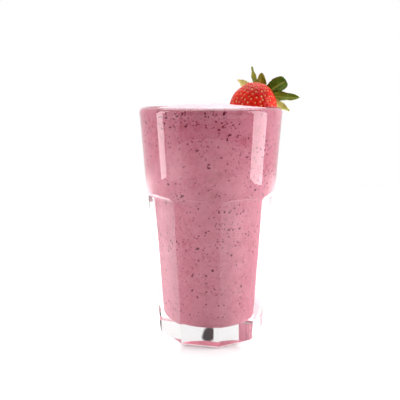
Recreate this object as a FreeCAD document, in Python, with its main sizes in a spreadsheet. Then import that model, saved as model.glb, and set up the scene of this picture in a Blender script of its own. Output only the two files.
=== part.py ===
"""Strawberry smoothie in a faceted tumbler, with a whole strawberry slit on to the rim.

Millimetres. +Z is up, and the origin is the middle of the foot, on the table. -Y is the front of the drink.
Every driving size is in the spreadsheet "Sizes". The sketches are bound to it, and the rest reads it.
"""
import FreeCAD, Part
import Sketcher
import math
import os
import re
from FreeCAD import Placement, Rotation, Vector

# Name, value (mm, degrees or a plain number) and meaning of each driving size.
SIZES = [
    ("glass_height", 140.0, "table to the top of the lip"),
    ("rim_radius", 42.8, "widest radius, at the lip"),
    ("foot_radius", 33.25, "corner radius of the many-sided foot"),
    ("lip_depth", 5.3, "height of the lip"),
    ("lip_bulge", 0.25, "how far the lip stands proud of the wall"),
    ("lip_round", 3.2, "outer rounding of the lip"),
    ("lip_width", 4.6, "glass across the lip"),
    ("waist_height", 91.0, "height at which the inner wall changes slope"),
    ("waist_radius", 26.2, "inner radius at that height"),
    ("floor_radius", 21.8, "inner radius at the floor, before its corner is rounded"),
    ("floor_height", 9.8, "solid glass under the drink"),
    ("floor_round", 3.0, "rounding between floor and inner wall"),
    ("facet_count", 9, "flats around the glass"),
    ("facet_turn", 18.0, "bearing of the first flat from +X, degrees"),
    ("facet_height", 86.6, "table to the corners between the arches"),
    ("cove_radius", 4.5, "hollow that ends each flat in an arch"),
    ("foot_bevel", 1.2, "bevel around the foot"),
    ("mound_rise", 3.0, "middle of the drink above its edge, which meets the lip's inner rounding"),
    ("berry_length", 34.0, "tip to crown of the strawberry"),
    ("berry_radius", 16.2, "widest radius of the strawberry"),
    ("berry_bearing", 47.0, "where on the rim it sits, from +X, degrees"),
    ("berry_rise", -1.5, "middle of the strawberry above the lip"),
    ("berry_heading", 63.0, "way its crown points, from +X, degrees"),
    ("berry_pitch", 32.0, "how steeply it leans up, degrees"),
    ("berry_balance", 0.55, "share of its length between its tip and its middle"),
    ("berry_taper", 0.86, "how far round its outline the crown comes, as a share of half a turn"),
    ("berry_blunt", 0.7, "bluntness of its outline, less being blunter"),
    ("berry_oval", 0.035, "how oval it is across, as a share of its radius"),
    ("berry_lumps", 0.02, "how three-sided it is across, as a share of its radius"),
    ("berry_drift", 0.8, "how far its middle stands off its axis"),
    ("slit_depth", 20.0, "how far down the lip the slit goes"),
    ("slit_gap", 0.3, "clearance between slit and glass"),
    ("sepal_thickness", 0.7, "thickness of the leaves"),
    ("sepal_root", 0.12, "breadth of a leaf at its root, as a share of its widest"),
    ("sepal_cup", 0.22, "how far a leaf's edges turn up, as a share of its half width"),
    ("crown_radius", 4.0, "radius of the crown that joins the leaves"),
    ("crown_height", 1.6, "height of that crown"),
]

# The leaves in turn around the crown: bearing, length, width, lift at the root and lift at the tip.
# Bearings are in degrees about the strawberry's axis, from its lower side; lifts are above the crown's plane.
SEPALS = [
    (114.0, 18.0, 6.0, 10.0, 30.0),
    (149.0, 20.0, 4.5, 25.0, 60.0),
    (181.0, 13.0, 7.5, 25.0, 45.0),
    (245.0, 20.0, 9.5, 10.0, 20.0),
    (279.0, 24.0, 8.0, 5.0, 10.0),
    (306.0, 21.0, 7.0, 0.0, 5.0),
    (20.0, 17.0, 8.0, 5.0, 15.0),
    (75.0, 16.0, 7.5, 5.0, 15.0),
]

doc = FreeCAD.newDocument("StrawberrySmoothie")
sheet = doc.addObject("Spreadsheet::Sheet", "Sizes")
for row, (name, value, meaning) in enumerate(SIZES, start=1):
    sheet.set(f"A{row}", name)
    sheet.set(f"B{row}", str(value))
    sheet.set(f"C{row}", meaning)
    sheet.setAlias(f"B{row}", name)
doc.recompute()


def bound(formula):
    """The formula with each size's name written as a reference to the spreadsheet."""
    names = "|".join(name for name, value, meaning in SIZES)
    return re.sub(rf"\b({names})\b", r"Sizes.\1", formula)


def size(formula):
    """The value of a size, or of a formula of sizes."""
    return float(sheet.evalExpression(bound(formula)))


def origin_item(body, role):
    """The axis or plane of a body that has this role."""
    return next(item for item in body.Origin.OriginFeatures if item.Role == role)


def arc_between(start, end, radius, side):
    """The short arc from start to end, its centre to the left (1) or right (-1), and which ends those are."""
    chord = end - start
    away = math.sqrt(max(radius ** 2 - chord.Length ** 2 / 4, 0.0))
    normal = Vector(-chord.y, chord.x, 0).normalize()
    centre = (start + end) * 0.5 + normal * away * side
    first, last = (start, end) if side > 0 else (end, start)
    angles = [math.atan2(point.y - centre.y, point.x - centre.x) for point in (first, last)]
    arc = Part.ArcOfCircle(Part.Circle(centre, Vector(0, 0, 1), radius), angles[0], angles[1])
    return arc, (1, 2) if side > 0 else (2, 1)


def pin(sketch, kind, places, label, formula):
    """Adds a dimension that follows a formula of sizes."""
    number = sketch.addConstraint(Sketcher.Constraint(kind, *places, size(formula)))
    sketch.renameConstraint(number, label)
    sketch.setExpression(f"Constraints.{label}", bound(formula))


def draw_outline(sketch, corners, arcs):
    """Draws a closed outline. corners are pairs of formulas, across and up.

    arcs gives, for the edge that leaves a corner, the formula of its radius and the side of its centre.
    """
    spots = [Vector(size(across), size(up), 0) for across, up in corners]
    edges = []
    for index, start in enumerate(spots):
        end = spots[(index + 1) % len(spots)]
        if index in arcs:
            radius, side = arcs[index]
            arc, ends = arc_between(start, end, size(radius), side)
            edges.append((sketch.addGeometry(arc), *ends))
            continue
        edges.append((sketch.addGeometry(Part.LineSegment(start, end)), 1, 2))
    for index, (edge, first, last) in enumerate(edges):
        after, after_first, after_last = edges[(index + 1) % len(edges)]
        sketch.addConstraint(Sketcher.Constraint("Coincident", edge, last, after, after_first))
    for index, (edge, first, last) in enumerate(edges):
        across, up = corners[index]
        pin(sketch, "DistanceX", (-1, 1, edge, first), f"across{index}", across)
        pin(sketch, "DistanceY", (-1, 1, edge, first), f"up{index}", up)
        if index in arcs:
            pin(sketch, "Radius", (edge,), f"radius{index}", arcs[index][0])


def body_sketch(body, name, corners, arcs=None):
    """An outline on the XZ plane of a body."""
    sketch = body.newObject("Sketcher::SketchObject", name)
    sketch.AttachmentSupport = (origin_item(body, "XZ_Plane"), [""])
    sketch.MapMode = "FlatFace"
    draw_outline(sketch, corners, arcs or {})
    return sketch


def revolve(body, sketch, name):
    """Turns an outline all the way round +Z."""
    feature = body.newObject("PartDesign::Revolution", name)
    feature.Profile = sketch
    feature.ReferenceAxis = (sketch, ["V_Axis"])
    feature.Angle = 360
    doc.recompute()
    return feature


# How much the outer wall spreads for each millimetre of height, and the same at the middle of a flat.
SPREAD = "((rim_radius - lip_bulge - foot_radius) / (glass_height - lip_depth))"
FLATNESS = "cos(180 / facet_count)"
INNER_LIP = "(lip_width - lip_round)"
INNER_RIM = "(rim_radius - lip_width)"

# Corners of the inner wall, from the lip down to the middle of the floor.
INNER_WALL = [
    (INNER_RIM, f"glass_height - {INNER_LIP}"),
    ("waist_radius", "waist_height"),
    ("floor_radius", "floor_height"),
    ("0", "floor_height"),
]


def round_floor(body, base, name):
    """Rounds the circle where the floor meets the inner wall."""
    close = 0.01
    names = [f"Edge{number}" for number, edge in enumerate(base.Shape.Edges, start=1)
             if not edge.Degenerated
             and isinstance(edge.Curve, Part.Circle)
             and abs(edge.Curve.Radius - size("floor_radius")) < close
             and abs(edge.Curve.Center.z - size("floor_height")) < close]
    fillet = body.newObject("PartDesign::Fillet", name)
    fillet.Base = (base, names)
    fillet.setExpression("Radius", bound("floor_round"))
    doc.recompute()
    return fillet


def make_glass():
    """The tumbler: a round blank with its cavity, then the flats with their arched tops."""
    body = doc.addObject("PartDesign::Body", "GlassBody")
    body.Label = "glass"
    blank = body_sketch(body, "GlassBlank", [
        ("0", "0"),
        ("foot_radius", "0"),
        ("rim_radius - lip_bulge", "glass_height - lip_depth"),
        ("rim_radius", "glass_height - lip_round"),
        ("rim_radius - lip_round", "glass_height"),
        *INNER_WALL,
    ], arcs={3: ("lip_round", 1), 4: (INNER_LIP, 1)})
    turned = revolve(body, blank, "GlassTurned")
    rounded = round_floor(body, turned, "GlassFloor")
    flat_radius = f"foot_radius * {FLATNESS}"
    flat_spread = f"{SPREAD} * {FLATNESS}"
    cove_start = f"({flat_radius} + {flat_spread} * facet_height)"
    clear_of_glass = "rim_radius + 2 * cove_radius"
    cutter = body_sketch(body, "GlassFlatProfile", [
        (f"{flat_radius} - 2 * foot_bevel", "-foot_bevel"),
        (f"{flat_radius} + {flat_spread} * foot_bevel", "foot_bevel"),
        (cove_start, "facet_height"),
        (f"{cove_start} + cove_radius", "facet_height + cove_radius"),
        (clear_of_glass, "facet_height + cove_radius"),
        (clear_of_glass, "-foot_bevel"),
    ], arcs={2: ("cove_radius", -1)})
    flat = body.newObject("PartDesign::Pocket", "GlassFlat")
    flat.Profile = cutter
    flat.SideType = "Symmetric"
    flat.setExpression("Length", bound("2 * rim_radius"))
    doc.recompute()
    flats = body.newObject("PartDesign::PolarPattern", "GlassFlats")
    flats.Originals = [flat]
    flats.Axis = (origin_item(body, "Z_Axis"), [""])
    flats.Angle = 360
    flats.setExpression("Occurrences", bound("facet_count"))
    body.Tip = flats
    body.setExpression("Placement.Rotation.Angle", bound("facet_turn"))
    body.Placement = Placement(Vector(0, 0, 0), Rotation(Vector(0, 0, 1), size("facet_turn")))
    doc.recompute()
    return body


def make_drink():
    """The drink as poured: it fills the cavity and stands in a low mound inside the lip."""
    body = doc.addObject("PartDesign::Body", "DrinkBody")
    mound_radius = f"({INNER_RIM} ^ 2 + mound_rise ^ 2) / (2 * mound_rise)"
    sketch = body_sketch(body, "DrinkProfile", [
        *INNER_WALL,
        ("0", f"glass_height - {INNER_LIP} + mound_rise"),
    ], arcs={4: (mound_radius, -1)})
    turned = revolve(body, sketch, "DrinkTurned")
    round_floor(body, turned, "DrinkFloor")
    return body


def berry_outline(along):
    """Radius of the strawberry as a share of its widest, from tip (0) to crown (1)."""
    return math.sin(math.pi * size("berry_taper") * along) ** size("berry_blunt")


def berry_section(along):
    """One closed section across the strawberry, a little out of round and off its axis."""
    points_round = 16
    radius = size("berry_radius") * berry_outline(along)
    height = size("berry_length") * (along - size("berry_balance"))
    drift = size("berry_drift") * math.sin(math.pi * along)
    points = []
    for step in range(points_round):
        angle = 2 * math.pi * step / points_round
        oval = size("berry_oval") * math.cos(2 * angle)
        lumps = size("berry_lumps") * math.cos(3 * angle + 2 * along)
        reach = radius * (1 + oval + lumps)
        points.append(Vector(reach * math.cos(angle) + drift, reach * math.sin(angle), height))
    curve = Part.BSplineCurve()
    curve.interpolate(points, PeriodicFlag=True)
    return Part.Wire([curve.toShape()])


def make_berry():
    """The strawberry before it is slit: sections lofted from the tip to the shoulder under the crown."""
    stations = (0.005, 0.05, 0.15, 0.3, 0.45, 0.6, 0.75, 0.88, 0.96, 1.0)
    feature = doc.addObject("Part::Feature", "BerryFlesh")
    feature.Shape = Part.makeLoft([berry_section(along) for along in stations], True, False)
    feature.Placement = berry_place()
    return feature


def berry_place():
    """Where the strawberry's own frame goes: its middle over the lip, its axis leaning out and up."""
    bearing = math.radians(size("berry_bearing"))
    seat = size("rim_radius - lip_width / 2")
    middle = Vector(seat * math.cos(bearing), seat * math.sin(bearing), size("glass_height + berry_rise"))
    lean = Rotation(Vector(0, 1, 0), 90 - size("berry_pitch"))
    turn = Rotation(Vector(0, 0, 1), size("berry_heading"))
    return Placement(middle, turn * lean)


def make_slit():
    """The space the lip takes in the strawberry: the lip's outline, grown all round by the clearance."""
    sketch = doc.addObject("Sketcher::SketchObject", "SlitProfile")
    sketch.Placement = Placement(Vector(0, 0, 0), Rotation(Vector(1, 0, 0), 90))
    outer = f"(foot_radius + {SPREAD} * (glass_height - slit_depth) + slit_gap)"
    inner_slope = f"(({INNER_RIM} - waist_radius) / (glass_height - {INNER_LIP} - waist_height))"
    inner = f"({INNER_RIM} - {inner_slope} * (slit_depth - {INNER_LIP}) - slit_gap)"
    draw_outline(sketch, [
        (inner, "glass_height - slit_depth"),
        (outer, "glass_height - slit_depth"),
        ("rim_radius - lip_bulge + slit_gap", "glass_height - lip_depth"),
        ("rim_radius + slit_gap", "glass_height - lip_round"),
        ("rim_radius - lip_round", "glass_height + slit_gap"),
        (f"{INNER_RIM} - slit_gap", f"glass_height - {INNER_LIP}"),
    ], {3: ("lip_round + slit_gap", 1), 4: (f"{INNER_LIP} + slit_gap", 1)})
    slit = doc.addObject("Part::Revolution", "Slit")
    slit.Source = sketch
    slit.Axis = Vector(0, 0, 1)
    slit.Angle = 360
    slit.Solid = True
    return slit


def cut(name, label, base, tool):
    """One solid less another, both kept in the document."""
    feature = doc.addObject("Part::Cut", name)
    feature.Label = label
    feature.Base = base
    feature.Tool = tool
    return feature


def sepal(bearing, length, width, root_lift, tip_lift):
    """One leaf: lens-shaped sections along an arc that leaves the crown and lifts towards the tip."""
    steps = 9
    spine = Vector(size("crown_radius / 2"), 0, 0)
    sections = []
    for step in range(steps + 1):
        along = step / steps
        lift = math.radians(root_lift + (tip_lift - root_lift) * along)
        sections.append(leaf_section(spine, lift, width / 2 * leaf_breadth(along)))
        spine = spine + Vector(math.cos(lift), 0, math.sin(lift)) * (length / steps)
    leaf = Part.makeLoft(sections, True, False)
    leaf.rotate(Vector(0, 0, 0), Vector(0, 0, 1), bearing)
    return leaf


def leaf_breadth(along):
    """Breadth of a leaf as a share of its widest: a narrow root, a full middle and a pointed tip."""
    root = size("sepal_root")
    return root + (1 - root) * math.sin(math.pi * along ** 0.8) ** 0.8 if along < 1 else 0.75 * root


def leaf_section(middle, lift, half):
    """A lens across the leaf, cupped upwards at its edges and thinner where the leaf is narrow."""
    full = 2.0
    thickness = size("sepal_thickness / 2") * (1 + min(1.0, half / full))
    up = Vector(-math.sin(lift), 0, math.cos(lift))
    across = Vector(0, half, 0)
    edge = middle + up * (size("sepal_cup") * half)
    top = middle + up * (thickness / 2)
    bottom = middle - up * (thickness / 2)
    upper = Part.Arc(edge + across, top, edge - across).toShape()
    lower = Part.Arc(edge - across, bottom, edge + across).toShape()
    return Part.Wire([upper, lower])


def make_sepals():
    """The crown and its leaves, one solid that sits on the strawberry's shoulder."""
    crown = Part.makeCylinder(size("crown_radius"), size("crown_height"))
    crown.translate(Vector(0, 0, -size("crown_height") / 2))
    feature = doc.addObject("Part::Feature", "BerrySepals")
    feature.Label = "strawberry_sepals"
    shoulder = size("berry_length * (1 - berry_balance)")
    seat = Placement(Vector(0, 0, shoulder + size("crown_height / 2")), Rotation())
    feature.Shape = crown.fuse([sepal(*row) for row in SEPALS])
    feature.Placement = berry_place().multiply(seat)
    return feature


def check(parts):
    """Stops on any failed object, or a sub-part that isn't one good solid."""
    for item in doc.Objects:
        if "Invalid" in item.State or "Error" in item.State:
            raise RuntimeError(f"{item.Name} failed: {item.State}")
    for part in parts:
        shape = part.Shape
        if shape.isNull() or not shape.isValid() or len(shape.Solids) != 1:
            raise RuntimeError(f"{part.Label} isn't one good solid: {len(shape.Solids)}")
        print(part.Label, round(shape.Volume), shape.BoundBox)


glass = make_glass()
flesh = make_berry()
strawberry = cut("BerrySlit", "strawberry", flesh, make_slit())
smoothie = cut("DrinkAroundBerry", "smoothie", make_drink(), flesh)
sepals = make_sepals()
doc.recompute()
parts = (glass, smoothie, strawberry, sepals)
check(parts)
os.makedirs("parts", exist_ok=True)
for part in parts:
    part.Shape.exportStep(f"parts/{part.Label}.step")
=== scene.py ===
"""Looks of a strawberry smoothie in its faceted tumbler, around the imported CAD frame.

Metres, in the CAD's frame: +Z is up, and -Y is the front. The glass is the CAD's own solid with a better
material. The drink, its fruit specks, the strawberry, its seeds and its leaves are meshes made here.
"""

import math
import random

import bmesh
import bpy
import numpy as np
from mathutils import Matrix, Vector, noise


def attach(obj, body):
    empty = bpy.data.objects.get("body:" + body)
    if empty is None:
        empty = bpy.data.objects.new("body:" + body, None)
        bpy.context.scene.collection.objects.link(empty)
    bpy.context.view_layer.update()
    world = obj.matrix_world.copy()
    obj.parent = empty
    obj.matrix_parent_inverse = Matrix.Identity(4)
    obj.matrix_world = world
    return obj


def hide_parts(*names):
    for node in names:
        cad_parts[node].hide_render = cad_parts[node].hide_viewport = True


MM = 0.001

# Sizes of the CAD solids that the pieces here follow.
GLASS_HEIGHT = 140 * MM
RIM_RADIUS = 42.8 * MM
LIP_WIDTH = 4.6 * MM
LIP_ROUND = 3.2 * MM
LIP_DEPTH = 5.3 * MM
LIP_BULGE = 0.25 * MM
FOOT_RADIUS = 33.25 * MM
INNER_LIP = LIP_WIDTH - LIP_ROUND
INNER_RIM = RIM_RADIUS - LIP_WIDTH
WAIST = (26.2 * MM, 91 * MM)
FLOOR = (21.8 * MM, 9.8 * MM)
FLOOR_ROUND = 3 * MM
MOUND_RISE = 3 * MM
BERRY_LENGTH = 34 * MM
BERRY_RADIUS = 16.2 * MM
BERRY_BEARING = math.radians(47)
BERRY_RISE = -1.5 * MM
BERRY_HEADING = math.radians(63)
BERRY_PITCH = math.radians(32)
BERRY_BALANCE = 0.55
BERRY_TAPER = 0.86
BERRY_BLUNT = 0.7
BERRY_OVAL = 0.035
BERRY_LUMPS = 0.02
BERRY_DRIFT = 0.8 * MM
SLIT_DEPTH = 20 * MM
SLIT_GAP = 0.3 * MM

# The crown's button stands on the strawberry's end, with the stub of a stalk in its middle.
CROWN_LIFT = 0.8 * MM
CROWN_RADIUS = 4 * MM
CROWN_HALF_HEIGHT = 0.8 * MM
STALK_HEIGHT = 1.0 * MM
STALK_RADIUS = 1.3 * MM
LEAF_ROOT = 2 * MM
BUTTON_TINT = (0.22, 0.28, 0.04, 1.0)

# How far the drink reaches into the glass, how far a speck stands out of the drink, and how many specks.
INTO_WALL = 0.15 * MM
SPECK_PROUD = 0.12 * MM
SPECK_COUNT = 2300

# The turn from one seed to the next.
GOLDEN_ANGLE = math.pi * (3 - math.sqrt(5))

# The studio: small dark spots in the surroundings that show as a patch in the base, each with its bearing
# from the front, rise and half breadth; the table's strongest glow; the distances over which it fades.
DARK_SPOTS = [(math.radians(167.9), math.radians(25), math.radians(0.9)),
              (math.radians(165.8), math.radians(24.4), math.radians(0.6))]
GLOW = 2.6
GLOW_FADE = (0.3, 0.58)

# The camera, from the fit to the photo: its lens (mm), pitch (degrees), place and sideways shift.
CAMERA_LENS = 48.9
CAMERA_PITCH = 11
CAMERA_PLACE = (0, -0.331, 0.1474)
CAMERA_SHIFT = -0.02725


def node(tree, kind, values=None, links=None, **settings):
    """A shader node with its settings, its input values and what is linked to its inputs."""
    made = tree.nodes.new("ShaderNode" + kind)
    for name, value in settings.items():
        setattr(made, name, value)
    for name, value in (values or {}).items():
        made.inputs[name].default_value = value
    for name, source in (links or {}).items():
        tree.links.new(source, made.inputs[name])
    return made


def ramp(tree, source, *stops):
    """A colour ramp over a number. Each stop is a place and a grey level or a colour."""
    made = node(tree, "ValToRGB", links={"Fac": source})
    while len(made.color_ramp.elements) < len(stops):
        made.color_ramp.elements.new(0.5)
    for element, (place, level) in zip(made.color_ramp.elements, stops):
        element.position = place
        element.color = (*level, 1) if isinstance(level, tuple) else (level, level, level, 1)
    return made.outputs["Color"]


def mix(tree, share, first, second, kind="MIX"):
    """A mix of two colours; each may be a value or a socket."""
    made = node(tree, "MixRGB", blend_type=kind)
    for name, given in (("Fac", share), ("Color1", first), ("Color2", second)):
        if isinstance(given, bpy.types.NodeSocket):
            tree.links.new(given, made.inputs[name])
        elif isinstance(given, tuple):
            made.inputs[name].default_value = (*given, 1)
        else:
            made.inputs[name].default_value = given
    return made.outputs["Color"]


def grain(tree, place, scale, detail=3.0, rough=0.55):
    """Noise between 0 and 1; scale is in features per metre."""
    return node(tree, "TexNoise", {"Scale": scale, "Detail": detail, "Roughness": rough},
                {"Vector": place}).outputs["Fac"]


def bump(tree, shader, height, distance, strength=1.0):
    """Fine relief on a shader from a height between 0 and 1; distance is its depth."""
    made = node(tree, "Bump", {"Strength": strength, "Distance": distance}, {"Height": height})
    tree.links.new(made.outputs["Normal"], shader.inputs["Normal"])


def new_material(name, **values):
    """A material with its shader's values set, and its tree, its shader and its object coordinates."""
    material = bpy.data.materials.new(name)
    material.use_nodes = True
    tree = material.node_tree
    shader = tree.nodes["Principled BSDF"]
    for label, value in values.items():
        shader.inputs[label.replace("_", " ")].default_value = value
    place = node(tree, "TexCoord").outputs["Object"]
    return material, tree, shader, place


def make_piece(name, points, faces, materials, smooth=True):
    """A mesh piece that rides with the glass."""
    mesh = bpy.data.meshes.new(name)
    mesh.from_pydata([tuple(point) for point in points], [], [tuple(face) for face in faces])
    mesh.validate()
    for material in materials:
        mesh.materials.append(material)
    if smooth:
        mesh.shade_smooth()
    piece = bpy.data.objects.new(name, mesh)
    bpy.context.scene.collection.objects.link(piece)
    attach(piece, "root")
    return piece


def grid_faces(rows, columns, start=0):
    """Quads of a grid that closes round its columns."""
    faces = []
    for row in range(rows - 1):
        for column in range(columns):
            after = (column + 1) % columns
            low, high = start + row * columns, start + (row + 1) * columns
            faces.append((low + column, low + after, high + after, high + column))
    return faces


# ---------------------------------------------------------------- materials


def glass_material():
    """Clear pressed glass, with the faint waves that pressing leaves."""
    material, tree, shader, place = new_material(
        "clear_glass", Base_Color=(1, 1, 1, 1), Roughness=0.0, IOR=1.5, Transmission_Weight=1.0)
    bump(tree, shader, grain(tree, place, 45, 1.0), 0.1 * MM, 0.25)
    return material


def drink_colour(tree, place):
    """Blended fruit and milk: uneven pinks with faint brown clouds and the smallest dark specks."""
    clouds = ramp(tree, grain(tree, place, 70, 4.0), (0.3, 0.0), (0.7, 1.0))
    colour = mix(tree, clouds, (0.57, 0.143, 0.213), (0.66, 0.232, 0.308))
    mottle = ramp(tree, grain(tree, place, 420, 3.0), (0.35, 0.0), (0.65, 1.0))
    colour = mix(tree, mix(tree, 0.35, (0.0, 0.0, 0.0), mottle), colour, (0.72, 0.32, 0.395))
    brown = ramp(tree, grain(tree, place, 130, 3.0), (0.56, 0.0), (0.75, 0.45))
    colour = mix(tree, brown, colour, (0.42, 0.12, 0.13))
    cells = node(tree, "TexVoronoi", {"Scale": 520.0}, {"Vector": place})
    dots = ramp(tree, cells.outputs["Distance"], (0.14, 1.0), (0.30, 0.0))
    some = ramp(tree, grain(tree, place, 150, 2.0), (0.5, 0.0), (0.62, 0.8))
    return mix(tree, mix(tree, 1.0, dots, some, "MULTIPLY"), colour, (0.26, 0.04, 0.08))


def drink_material():
    """The drink against the glass."""
    material, tree, shader, place = new_material("pink_drink", Roughness=0.55, Specular_IOR_Level=0.05)
    tree.links.new(drink_colour(tree, place), shader.inputs["Base Color"])
    bump(tree, shader, grain(tree, place, 500, 4.0), 0.05 * MM)
    return material


def froth_material():
    """The drink's open top: the same pinks under a pale froth of fine bubbles."""
    material, tree, shader, place = new_material("pale_froth", Roughness=0.32, Specular_IOR_Level=0.4)
    pale = ramp(tree, grain(tree, place, 260, 4.0), (0.35, 0.45), (0.65, 0.9))
    colour = mix(tree, pale, drink_colour(tree, place), (0.88, 0.68, 0.73))
    tree.links.new(colour, shader.inputs["Base Color"])
    cells = node(tree, "TexVoronoi", {"Scale": 900.0, "Randomness": 1.0}, {"Vector": place},
                 feature="SMOOTH_F1")
    height = mix(tree, 0.5, cells.outputs["Distance"], grain(tree, place, 400, 4.0))
    bump(tree, shader, height, 0.35 * MM)
    return material


def speck_material():
    """Dark fruit skin, from deep magenta to wine."""
    material, tree, shader, place = new_material("fruit_speck", Roughness=0.5, Specular_IOR_Level=0.1)
    shade = ramp(tree, grain(tree, place, 160, 1.0), (0.4, (0.12, 0.007, 0.034)), (0.6, (0.27, 0.032, 0.07)))
    tree.links.new(shade, shader.inputs["Base Color"])
    return material


def berry_material():
    """Ripe strawberry skin: deep red, paler and more orange round the seeds and towards the crown."""
    material, tree, shader, place = new_material(
        "red_fruit", Roughness=0.3, Specular_IOR_Level=0.12, Coat_Weight=0.06, Coat_Roughness=0.08,
        Subsurface_Weight=0.1, Subsurface_Scale=0.001)
    shader.inputs["Subsurface Radius"].default_value = (1.0, 0.25, 0.12)
    patches = ramp(tree, grain(tree, place, 110, 3.0), (0.35, 0.0), (0.65, 1.0))
    colour = mix(tree, patches, (0.42, 0.003, 0.001), (0.66, 0.014, 0.002))
    pits = node(tree, "Attribute", attribute_name="pit").outputs["Fac"]
    colour = mix(tree, ramp(tree, pits, (0.45, 0.0), (0.75, 0.25), (1.0, 0.0)), colour, (0.75, 0.10, 0.03))
    crown = node(tree, "Attribute", attribute_name="crown").outputs["Fac"]
    colour = mix(tree, ramp(tree, crown, (0.78, 0.0), (1.0, 0.8)), colour, (0.78, 0.22, 0.07))
    tree.links.new(colour, shader.inputs["Base Color"])
    bump(tree, shader, grain(tree, place, 900, 3.0), 0.08 * MM)
    return material


def seed_material():
    """Straw to golden seeds."""
    material, tree, shader, place = new_material("pale_seed", Roughness=0.35, Specular_IOR_Level=0.5)
    shade = ramp(tree, grain(tree, place, 150, 1.0), (0.35, (0.62, 0.30, 0.08)), (0.65, (0.80, 0.55, 0.22)))
    tree.links.new(shade, shader.inputs["Base Color"])
    return material


def leaf_material():
    """Sepal skin: the leaf's own tint from the mesh, with pale veins, blotches and fine hairiness."""
    material, tree, shader, place = new_material(
        "green_leaf", Roughness=0.5, Specular_IOR_Level=0.12, Subsurface_Weight=0.1, Subsurface_Scale=0.001)
    tint = node(tree, "Attribute", attribute_name="tint").outputs["Color"]
    vein = node(tree, "Attribute", attribute_name="vein").outputs["Fac"]
    blotch = ramp(tree, grain(tree, place, 330, 4.0), (0.35, 0.0), (0.65, 1.0))
    colour = mix(tree, blotch, tint, mix(tree, 1.0, tint, (0.6, 0.62, 0.5), "MULTIPLY"))
    colour = mix(tree, mix(tree, 0.45, (0.0, 0.0, 0.0), vein), colour, (0.40, 0.46, 0.09))
    tree.links.new(colour, shader.inputs["Base Color"])
    bump(tree, shader, mix(tree, 0.5, vein, grain(tree, place, 1200, 3.0)), 0.15 * MM)
    return material


# ---------------------------------------------------------------- drink


def floor_corner():
    """The drink's rounded lower edge, as points from floor to wall."""
    corner = Vector(FLOOR)
    wall = (Vector(WAIST) - corner).normalized()
    along_floor = Vector((-1, 0))
    half = along_floor.angle(wall) / 2
    centre = corner + (along_floor + wall).normalized() * (FLOOR_ROUND / math.sin(half))
    start = -math.pi / 2
    end = math.atan2(-wall.x, wall.y)
    steps = 8
    turns = [start + (end - start) * step / steps for step in range(steps + 1)]
    return [centre + Vector((math.cos(turn), math.sin(turn))) * FLOOR_ROUND for turn in turns]


def between(start, end, steps):
    """Points after start and up to end."""
    return [Vector(start).lerp(Vector(end), step / steps) for step in range(1, steps + 1)]


def edge_wobble(angle):
    """How far the drink's edge stands above or below its level at a bearing."""
    round_edge = Vector((math.cos(angle), math.sin(angle), 0.0))
    return 0.8 * MM * noise.fractal(round_edge * 12, 0.7, 2.1, 4) - 0.1 * MM


def froth_height(x, y):
    """Unevenness of the froth: soft swirls and small lumps."""
    spot = Vector((x, y, 0.0))
    swirl = noise.fractal(spot * 70, 0.8, 2.0, 3)
    lumps = noise.fractal(spot * 320, 0.6, 2.0, 3)
    return 0.5 * MM * swirl + 0.22 * MM * lumps


def make_drink():
    """The drink: a turned body that reaches just into the glass, under an uneven mound of froth."""
    columns, floor_rows, wall_rows, top_rows = 360, 10, 44, 64
    corner = floor_corner()
    rim = (INNER_RIM, GLASS_HEIGHT - INNER_LIP)
    side = [Vector((0.02 * MM, FLOOR[1]))] + between((0, FLOOR[1]), corner[0], floor_rows) + corner[1:]
    side += between(corner[-1], WAIST, wall_rows) + between(WAIST, rim, wall_rows)
    angles = [2 * math.pi * column / columns for column in range(columns)]
    points = []
    for radius, height in side:
        lift = max(0.0, (height - WAIST[1]) / (rim[1] - WAIST[1])) ** 8
        for angle in angles:
            reach = radius + INTO_WALL * min(1.0, radius / FLOOR[0])
            drop = -INTO_WALL if height < FLOOR[1] + 0.1 * MM else edge_wobble(angle) * lift
            points.append((reach * math.cos(angle), reach * math.sin(angle), height + drop))
    mound = (INNER_RIM ** 2 + MOUND_RISE ** 2) / (2 * MOUND_RISE)
    for row in range(1, top_rows + 1):
        share = 1 - row / top_rows
        radius = max(0.02 * MM, INNER_RIM * share ** 0.9)
        dome = math.sqrt(mound ** 2 - radius ** 2) - (mound - MOUND_RISE)
        near_edge = math.exp((radius - INNER_RIM) / (2 * MM))
        for angle in angles:
            x, y = radius * math.cos(angle), radius * math.sin(angle)
            height = rim[1] + dome + edge_wobble(angle) * near_edge + froth_height(x, y) * (1 - near_edge)
            points.append((x, y, height))
    rows = len(side) + top_rows
    faces = grid_faces(rows, columns)
    faces.append(tuple(reversed(range(columns))))
    faces.append(tuple(range((rows - 1) * columns, rows * columns)))
    drink = make_piece("smoothie_body", points, faces, [drink_material(), froth_material()])
    for index in range((len(side) - 1) * columns, (rows - 1) * columns):
        drink.data.polygons[index].material_index = 1
    drink.data.polygons[len(faces) - 1].material_index = 1
    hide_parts("smoothie")
    return drink


def wall_radius(height):
    """Inner radius of the glass at a height."""
    low, high = (FLOOR, WAIST) if height < WAIST[1] else (WAIST, (INNER_RIM, GLASS_HEIGHT - INNER_LIP))
    share = (height - low[1]) / (high[1] - low[1])
    return low[0] + (high[0] - low[0]) * share


def speck_density(angle, height):
    """How likely a speck is at a bearing and height: clusters, and more near the top."""
    spot = Vector((math.cos(angle), math.sin(angle), height / 0.04)) * 1.6
    cluster = 0.5 + 0.9 * noise.noise(spot) + 0.5 * noise.noise(spot * 3.1)
    top = 0.22 + 1.1 * max(0.0, (height - 60 * MM) / (80 * MM)) ** 2
    return max(0.05, cluster) * top


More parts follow.
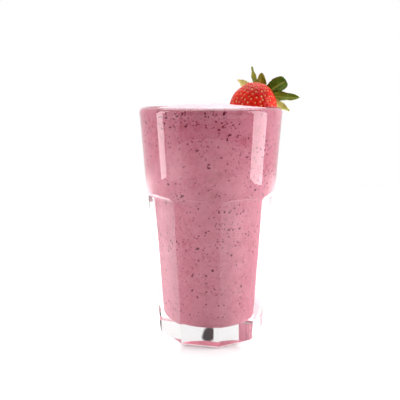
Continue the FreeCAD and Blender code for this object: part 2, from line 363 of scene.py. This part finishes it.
def make_specks():
    """Bits of fruit skin and seed against the glass: flat uneven flakes, mostly sunk in the drink."""
    chance = random.Random(11)
    source = bmesh.new()
    bmesh.ops.create_icosphere(source, subdivisions=1, radius=1.0)
    ball = [vertex.co.copy() for vertex in source.verts]
    ball_faces = [[vertex.index for vertex in face.verts] for face in source.faces]
    source.free()
    points, faces = [], []
    wanted = SPECK_COUNT
    while wanted:
        angle = chance.uniform(0, 2 * math.pi)
        height = chance.uniform(FLOOR[1] + 4 * MM, GLASS_HEIGHT - 2.5 * MM)
        if chance.random() > speck_density(angle, height):
            continue
        wanted -= 1
        long_half = min(1.15, math.exp(chance.gauss(math.log(0.45), 0.5))) * MM
        wide_half = long_half * chance.uniform(0.5, 0.95)
        deep_half = 0.2 * MM
        turn = chance.uniform(0, math.pi)
        radius = wall_radius(height) + INTO_WALL - deep_half + SPECK_PROUD
        frame_turn = Matrix.Rotation(angle, 3, "Z") @ Matrix.Rotation(turn, 3, "X")
        middle = Vector((radius * math.cos(angle), radius * math.sin(angle), height))
        start = len(points)
        for corner in ball:
            uneven = 1 + chance.uniform(-0.28, 0.28)
            local = Vector((corner.x * deep_half, corner.y * long_half * uneven,
                            corner.z * wide_half * uneven))
            points.append(middle + frame_turn @ local)
        faces += [[start + index for index in face] for face in ball_faces]
    return make_piece("fruit_specks", points, faces, [speck_material()], smooth=False)


# ---------------------------------------------------------------- strawberry


def berry_matrix():
    """The strawberry's own frame: its middle over the lip, +Z towards its crown."""
    seat = RIM_RADIUS - LIP_WIDTH / 2
    height = GLASS_HEIGHT + BERRY_RISE
    middle = Vector((seat * math.cos(BERRY_BEARING), seat * math.sin(BERRY_BEARING), height))
    turn = Matrix.Rotation(BERRY_HEADING, 4, "Z") @ Matrix.Rotation(math.pi / 2 - BERRY_PITCH, 4, "Y")
    return Matrix.Translation(middle) @ turn


def berry_point(along, angle):
    """A point of the strawberry's skin, in its own frame, from tip (0) to crown (1)."""
    outline = math.sin(math.pi * BERRY_TAPER * along) ** BERRY_BLUNT
    uneven = 1 + BERRY_OVAL * math.cos(2 * angle) + BERRY_LUMPS * math.cos(3 * angle + 2 * along)
    reach = BERRY_RADIUS * outline * uneven
    drift = BERRY_DRIFT * math.sin(math.pi * along)
    height = BERRY_LENGTH * (along - BERRY_BALANCE)
    return Vector((reach * math.cos(angle) + drift, reach * math.sin(angle), height))


def berry_normal(along, angle):
    """Which way the skin faces at a point of the strawberry, and which way the crown lies along it."""
    step = 0.01
    up = berry_point(min(1, along + step), angle) - berry_point(max(0.001, along - step), angle)
    around = berry_point(along, angle + step) - berry_point(along, angle - step)
    return around.cross(up).normalized(), up.normalized()


def seed_spots():
    """Where the seeds sit: spirals from tip to crown, evenly over the skin, with a little disorder."""
    chance = random.Random(5)
    count, samples = 300, 400
    alongs = [0.004 + 0.976 * index / samples for index in range(samples + 1)]
    total, sums = 0.0, [0.0]
    for low, high in zip(alongs, alongs[1:]):
        first, second = berry_point(low, 0), berry_point(high, 0)
        total += (second - first).length * (first.x + second.x)
        sums.append(total)
    spots = []
    for index in range(count):
        area = (index + 0.5) / count * total
        along = float(np.interp(area, sums, alongs))
        angle = index * GOLDEN_ANGLE + chance.uniform(-0.05, 0.05)
        spots.append((min(0.975, along + chance.uniform(-0.006, 0.006)), angle))
    return spots


def slit_outline(gap):
    """Corners, across and up, of the space that the lip takes in the strawberry."""
    spread = (RIM_RADIUS - LIP_BULGE - FOOT_RADIUS) / (GLASS_HEIGHT - LIP_DEPTH)
    slope = (INNER_RIM - WAIST[0]) / (GLASS_HEIGHT - INNER_LIP - WAIST[1])
    low = GLASS_HEIGHT - SLIT_DEPTH
    outline = [
        (INNER_RIM - slope * (SLIT_DEPTH - INNER_LIP) - gap, low),
        (FOOT_RADIUS + spread * low + gap, low),
        (RIM_RADIUS - LIP_BULGE + gap, GLASS_HEIGHT - LIP_DEPTH),
    ]
    steps = 6
    for step in range(steps + 1):
        turn = math.pi / 2 * step / steps
        reach = LIP_ROUND + gap
        across = RIM_RADIUS - LIP_ROUND + reach * math.cos(turn)
        outline.append((across, GLASS_HEIGHT - LIP_ROUND + reach * math.sin(turn)))
    for step in range(steps + 1):
        turn = math.pi / 2 * (1 + step / steps)
        reach = INNER_LIP + gap
        across = INNER_RIM + INNER_LIP + reach * math.cos(turn)
        outline.append((across, GLASS_HEIGHT - INNER_LIP + reach * math.sin(turn)))
    return outline[:3 + steps + 1] + outline[3 + steps + 2:]


def make_slit_cutter():
    """A stretch of the lip, grown by the slit's clearance, to cut the strawberry with."""
    outline = slit_outline(SLIT_GAP)
    stations = 40
    half = math.radians(38)
    points, faces = [], []
    for station in range(stations + 1):
        angle = BERRY_BEARING - half + 2 * half * station / stations
        points += [(across * math.cos(angle), across * math.sin(angle), up) for across, up in outline]
    count = len(outline)
    for station in range(stations):
        low, high = station * count, (station + 1) * count
        for index in range(count):
            after = (index + 1) % count
            faces.append((low + index, high + index, high + after, low + after))
    faces.append(tuple(range(count)))
    faces.append(tuple(reversed(range(stations * count, (stations + 1) * count))))
    mesh = bpy.data.meshes.new("slit_cutter")
    mesh.from_pydata(points, [], faces)
    cutter = bpy.data.objects.new("slit_cutter", mesh)
    bpy.context.scene.collection.objects.link(cutter)
    return cutter


def cut_by(piece, cutter):
    """Cuts one mesh by another, and removes the second."""
    modifier = piece.modifiers.new("cut", "BOOLEAN")
    modifier.object = cutter
    modifier.operation = "DIFFERENCE"
    modifier.solver = "EXACT"
    evaluated = piece.evaluated_get(bpy.context.evaluated_depsgraph_get())
    mesh = bpy.data.meshes.new_from_object(evaluated)
    piece.modifiers.clear()
    piece.data = mesh
    bpy.data.objects.remove(cutter)


def in_slit(point):
    """Whether a point is in the lip or very near it."""
    across = math.hypot(point.x, point.y)
    spare = 0.6 * MM
    slope = (INNER_RIM - WAIST[0]) / (GLASS_HEIGHT - INNER_LIP - WAIST[1])
    inner = INNER_RIM - slope * max(0.0, GLASS_HEIGHT - INNER_LIP - point.z) - spare
    return inner < across < RIM_RADIUS + spare and point.z < GLASS_HEIGHT + spare


def make_berry(spots):
    """The strawberry's flesh: its outline with a pit at each seed, slit to sit on the lip."""
    columns, rows = 260, 170
    place = berry_matrix()
    pit_radius, pit_depth = 1.45 * MM, 0.6 * MM
    centres = np.array([berry_point(*spot) for spot in spots])
    alongs = [0.004 + 0.996 * (row / (rows - 1)) ** 1.1 for row in range(rows)]
    points, pits = [], []
    for along in alongs:
        for column in range(columns):
            angle = 2 * math.pi * column / columns
            point = berry_point(along, angle)
            outward = berry_normal(along, angle)[0]
            nearest = float(np.sqrt(((centres - np.array(point)) ** 2).sum(axis=1).min()))
            depth = max(0.0, 1 - (nearest / pit_radius) ** 2)
            swell = 0.25 * MM * noise.fractal(point * 160, 0.8, 2.0, 2)
            points.append(place @ (point + outward * (swell - pit_depth * depth ** 1.5)))
            pits.append(max(0.0, 1 - nearest / (1.4 * pit_radius)))
    faces = grid_faces(rows, columns)
    faces.append(tuple(reversed(range(columns))))
    faces.append(tuple(range((rows - 1) * columns, rows * columns)))
    berry = make_piece("strawberry_flesh", points, faces, [berry_material()])
    crowns = [along for along in alongs for column in range(columns)]
    for name, values in (("pit", pits), ("crown", crowns)):
        berry.data.attributes.new(name, "FLOAT", "POINT").data.foreach_set("value", values)
    cut_by(berry, make_slit_cutter())
    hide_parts("strawberry")
    return berry


def make_seeds(spots):
    """The pale seeds, each a flat teardrop that points to the tip, lying in its pit."""
    chance = random.Random(7)
    place = berry_matrix()
    rings, sides = 6, 8
    points, faces = [], []
    for along, angle in spots:
        middle = berry_point(along, angle)
        if in_slit(place @ middle):
            continue
        outward, up = berry_normal(along, angle)
        across = up.cross(outward)
        half_long, half_wide = chance.uniform(0.5, 0.66) * MM, chance.uniform(0.3, 0.4) * MM
        half_deep, sunk = 0.24 * MM, 0.34 * MM
        middle = middle - outward * sunk
        start = len(points)
        for ring in range(rings + 1):
            turn = math.pi * ring / rings
            slim = math.sin(turn) * (1 - 0.3 * math.cos(turn)) + 0.02
            for side in range(sides):
                spin = 2 * math.pi * side / sides
                local = up * (half_long * math.cos(turn)) + across * (half_wide * slim * math.cos(spin))
                points.append(place @ (middle + local + outward * (half_deep * slim * math.sin(spin))))
        faces += grid_faces(rings + 1, sides, start)
        faces.append(tuple(start + side for side in reversed(range(sides))))
        faces.append(tuple(start + rings * sides + side for side in range(sides)))
    return make_piece("strawberry_seeds", points, faces, [seed_material()])


# The leaves in turn around the crown: bearing, length and width (mm), lift at root and tip, bluntness, which
# leaf_breadth explains, and tint.
LEAVES = [
    (114, 19, 8.0, 10, 30, 0.8, (0.62, 0.56, 0.20)),
    (149, 20, 4.4, 25, 60, 0.8, (0.26, 0.27, 0.03)),
    (181, 13, 7.5, 25, 45, 0.8, (0.22, 0.19, 0.01)),
    (245, 18, 10.5, 10, 20, 1.7, (0.06, 0.12, 0.004)),
    (279, 24, 7.0, 5, 10, 0.9, (0.12, 0.18, 0.01)),
    (306, 20, 7.0, 0, 5, 0.8, (0.44, 0.50, 0.14)),
    (20, 17, 8.0, 5, 15, 0.8, (0.16, 0.25, 0.02)),
    (75, 16, 7.5, 5, 15, 0.8, (0.18, 0.27, 0.03)),
]


def leaf_breadth(along, blunt):
    """Breadth of a leaf as a share of its widest, which lies nearer the tip in a blunter leaf."""
    return 0.12 + 0.88 * math.sin(math.pi * along ** blunt) ** (0.64 / blunt) if along < 1 else 0.02


def crown_button(place):
    """The green button on the strawberry's end, with the stub of its stalk: its points and its faces."""
    rings, sides = 10, 28
    points = []
    for ring in range(rings + 1):
        turn = math.pi * ring / rings
        across = CROWN_RADIUS * math.sin(turn) + 0.02 * MM
        for side in range(sides):
            spin = 2 * math.pi * side / sides
            lobe = across * (1 + 0.08 * math.cos(5 * spin))
            stalk = STALK_HEIGHT * math.exp(-(across / STALK_RADIUS) ** 2) if turn > math.pi / 2 else 0.0
            up = -CROWN_HALF_HEIGHT * math.cos(turn) + stalk
            points.append(place @ Vector((lobe * math.cos(spin), lobe * math.sin(spin), up)))
    faces = grid_faces(rings + 1, sides)
    faces.append(tuple(reversed(range(sides))))
    faces.append(tuple(rings * sides + side for side in range(sides)))
    return points, faces


def make_leaves():
    """The crown's leaves: thin cupped blades with toothed, rippled edges, on a small button of green."""
    place = berry_matrix() @ Matrix.Translation((0, 0, BERRY_LENGTH * (1 - BERRY_BALANCE) + CROWN_LIFT))
    steps, half_columns = 40, 8
    columns = 2 * half_columns + 1
    points, faces, tints, veins = [], [], [], []
    for number, (bearing, length, width, root_lift, tip_lift, blunt, tint) in enumerate(LEAVES):
        turn = Matrix.Rotation(math.radians(bearing), 4, "Z")
        spine = Vector((LEAF_ROOT, 0, 0))
        for side in (1, -1):
            start = len(points)
            middle = spine.copy()
            for step in range(steps + 1):
                along = step / steps
                lift = math.radians(root_lift + (tip_lift - root_lift) * along)
                up = Vector((-math.sin(lift), 0, math.cos(lift)))
                tooth = 1 + 0.05 * math.sin(along * 40 + number) * (1 - along)
                half = width * MM / 2 * leaf_breadth(along, blunt) * tooth
                for column in range(columns):
                    share = column / half_columns - 1
                    thin = 0.22 * MM * (1 - share ** 2) + 0.03 * MM
                    ripple = 0.35 * MM * abs(share) * math.sin(along * 17 + number * 2 + share * 2)
                    cup = 0.22 * half * share ** 2 + ripple + side * thin
                    point = middle + Vector((0, half * share, 0)) + up * cup
                    points.append(place @ turn @ point)
                    rib = math.exp(-(share / 0.09) ** 2)
                    side_rib = math.exp(-((abs(share) * 2.2 - along * 9) % 1.0 - 0.5) ** 2 / 0.01) * 0.5
                    veins.append(max(rib, side_rib * (1 - along)))
                    tints.append((*tint, 1.0))
                middle = middle + Vector((math.cos(lift), 0, math.sin(lift))) * (length * MM / steps)
            for step in range(steps):
                for column in range(columns - 1):
                    low = start + step * columns + column
                    face = (low, low + columns, low + columns + 1, low + 1)
                    faces.append(face if side > 0 else face[::-1])
        upper, lower = start - (steps + 1) * columns, start
        for step in range(steps):
            for column, flip in ((0, False), (columns - 1, True)):
                top, bottom = upper + step * columns + column, lower + step * columns + column
                face = (top, bottom, bottom + columns, top + columns)
                faces.append(face[::-1] if flip else face)
        for step, flip in ((0, True), (steps, False)):
            for column in range(columns - 1):
                top, bottom = upper + step * columns + column, lower + step * columns + column
                face = (top, bottom, bottom + 1, top + 1)
                faces.append(face[::-1] if flip else face)
    start = len(points)
    button_points, button_faces = crown_button(place)
    points += button_points
    faces += [tuple(start + index for index in face) for face in button_faces]
    veins += [0.0] * len(button_points)
    tints += [BUTTON_TINT] * len(button_points)
    leaves = make_piece("strawberry_leaves", points, faces, [leaf_material()])
    leaves.data.attributes.new("tint", "FLOAT_COLOR", "POINT").data.foreach_set("color", np.ravel(tints))
    leaves.data.attributes.new("vein", "FLOAT", "POINT").data.foreach_set("value", veins)
    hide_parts("strawberry_sepals")
    return leaves


# ---------------------------------------------------------------- studio


def floor_glow(tree, place):
    """How much the table top glows: not at all in front of the glass, and most behind its two sides."""
    axes = node(tree, "SeparateXYZ", links={"Vector": place})
    front = node(tree, "Math", {1: -1.0}, {0: axes.outputs["Y"]}, operation="MULTIPLY").outputs[0]
    turn = node(tree, "Math", links={0: axes.outputs["X"], 1: front}, operation="ARCTAN2").outputs[0]
    off_front = node(tree, "Math", links={0: turn}, operation="ABSOLUTE").outputs[0]
    share = node(tree, "Math", {1: 1 / math.pi}, {0: off_front}, operation="MULTIPLY").outputs[0]
    level = ramp(tree, share, (0.15, 0.0), (0.25, 0.36), (0.61, 0.38), (0.71, 1.0), (0.79, 1.0), (0.9, 0.05))
    reach = node(tree, "VectorMath", links={0: place}, operation="LENGTH").outputs["Value"]
    fade = {"From Min": GLOW_FADE[0], "From Max": GLOW_FADE[1], "To Min": GLOW, "To Max": 0.0}
    near = node(tree, "MapRange", fade, {"Value": reach}).outputs["Result"]
    return node(tree, "Math", links={0: level, 1: near}, operation="MULTIPLY").outputs[0]


def make_floor():
    """A plain pale round table top, a hair under the foot, that glows beside and behind the glass."""
    mesh = bpy.data.meshes.new("floor")
    radius, corners, gap = 0.6, 96, 0.2 * MM
    turns = [2 * math.pi * corner / corners for corner in range(corners)]
    edge = [(radius * math.cos(turn), radius * math.sin(turn), -gap) for turn in turns]
    mesh.from_pydata(edge, [], [range(corners)])
    floor = bpy.data.objects.new("floor", mesh)
    bpy.context.scene.collection.objects.link(floor)
    material, tree, shader, place = new_material("pale_floor", Roughness=0.9, Specular_IOR_Level=0.1)
    shade = ramp(tree, grain(tree, place, 30, 2.0), (0.3, 0.93), (0.7, 0.95))
    tree.links.new(shade, shader.inputs["Base Color"])
    shader.inputs["Emission Color"].default_value = (1, 1, 1, 1)
    tree.links.new(floor_glow(tree, place), shader.inputs["Emission Strength"])
    mesh.materials.append(material)


def make_world():
    """White behind the glass, dark behind the camera, with the dark spots, and plain white to the camera."""
    world = bpy.data.worlds.new("studio")
    bpy.context.scene.world = world
    world.use_nodes = True
    tree = world.node_tree
    place = node(tree, "TexCoord").outputs["Generated"]
    axes = node(tree, "SeparateXYZ", links={"Vector": place})
    level = node(tree, "MapRange", {"From Min": -0.5, "From Max": 0.25, "To Min": 0.04, "To Max": 0.9},
                 {"Value": axes.outputs["Y"]}).outputs["Result"]
    overhead = node(tree, "MapRange", {"From Min": 0.45, "From Max": 0.8, "To Min": 0.0, "To Max": 0.5},
                    {"Value": axes.outputs["Z"]}).outputs["Result"]
    seen = node(tree, "LightPath").outputs["Is Camera Ray"]
    brightest = node(tree, "Math", operation="MAXIMUM")
    tree.links.new(level, brightest.inputs[0])
    tree.links.new(overhead, brightest.inputs[1])
    lit = brightest.outputs[0]
    for bearing, rise, spread in DARK_SPOTS:
        flat = math.cos(rise)
        toward = (flat * math.sin(bearing), -flat * math.cos(bearing), math.sin(rise))
        facing = node(tree, "VectorMath", {1: toward}, {0: place}, operation="DOT_PRODUCT").outputs["Value"]
        clear = node(tree, "MapRange", {"From Min": math.cos(spread), "From Max": math.cos(0.7 * spread),
                                        "To Min": 1.0, "To Max": 0.02}, {"Value": facing}).outputs["Result"]
        lit = node(tree, "Math", links={0: lit, 1: clear}, operation="MULTIPLY").outputs[0]
    strength = node(tree, "Math", operation="MAXIMUM")
    tree.links.new(lit, strength.inputs[0])
    tree.links.new(seen, strength.inputs[1])
    tree.links.new(strength.outputs[0], tree.nodes["Background"].inputs["Strength"])
    tree.nodes["Background"].inputs["Color"].default_value = (1, 1, 1, 1)


def make_softbox(name, azimuth, distance, width, low, high, radiance):
    """An upright rectangular light. Azimuth is from the front, to the right; radiance 1 is white."""
    turn = math.radians(azimuth)
    height, middle = high - low, (low + high) / 2
    place = Vector((distance * math.sin(turn), -distance * math.cos(turn), middle))
    target = Vector((0, 0, middle))
    add_light(name, place, target, width, height, radiance)


def add_light(name, place, target, width, height, radiance):
    """A rectangular light at a place, facing a target."""
    light = bpy.data.lights.new(name, "AREA")
    light.shape = "RECTANGLE"
    light.size, light.size_y = width, height
    light.energy = radiance * math.pi * width * height
    holder = bpy.data.objects.new(name, light)
    bpy.context.scene.collection.objects.link(holder)
    holder.location = place
    holder.rotation_euler = (target - place).to_track_quat("-Z", "Y").to_euler()
    holder.visible_camera = False


def make_camera():
    """A camera a little above the glass, looking down on it."""
    camera = bpy.data.cameras.new("camera")
    camera.lens, camera.sensor_width = CAMERA_LENS, 36
    camera.clip_start = 0.01
    camera.shift_x = CAMERA_SHIFT
    holder = bpy.data.objects.new("camera", camera)
    bpy.context.scene.collection.objects.link(holder)
    holder.location = CAMERA_PLACE
    holder.rotation_euler = (math.radians(90 - CAMERA_PITCH), 0, 0)
    bpy.context.scene.camera = holder


def set_up_render():
    """Light bounces for the glass, denoising, and plain display colours."""
    scene = bpy.context.scene
    scene.view_settings.view_transform = "Standard"
    scene.cycles.use_denoising = True
    scene.cycles.max_bounces = 24
    scene.cycles.transmission_bounces = 16
    scene.cycles.glossy_bounces = 8
    scene.cycles.diffuse_bounces = 5
    scene.cycles.sample_clamp_indirect = 20


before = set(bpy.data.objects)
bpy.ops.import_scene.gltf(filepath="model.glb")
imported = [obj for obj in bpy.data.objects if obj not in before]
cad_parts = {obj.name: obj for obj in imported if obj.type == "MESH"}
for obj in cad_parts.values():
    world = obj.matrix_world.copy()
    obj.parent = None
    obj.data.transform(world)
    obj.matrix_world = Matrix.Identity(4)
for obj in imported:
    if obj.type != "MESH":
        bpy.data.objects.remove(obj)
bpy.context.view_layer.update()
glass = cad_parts["glass"]
glass.data.materials.clear()
glass.data.materials.append(glass_material())
make_drink()
make_specks()
spots = seed_spots()
make_berry(spots)
make_seeds(spots)
make_leaves()
make_floor()
make_world()
make_softbox("left_softbox", -83, 0.35, 0.08, 0.02, 0.44, 6)
make_softbox("right_softbox", 80, 0.35, 0.17, 0.013, 0.44, 6)
make_softbox("left_fill", -60, 0.35, 0.16, 0.013, 0.44, 0.8)
add_light("top_softbox", Vector((0, 0.25, 0.9)), Vector((0, 0, 0)), 0.9, 0.9, 3)
make_camera()
set_up_render()
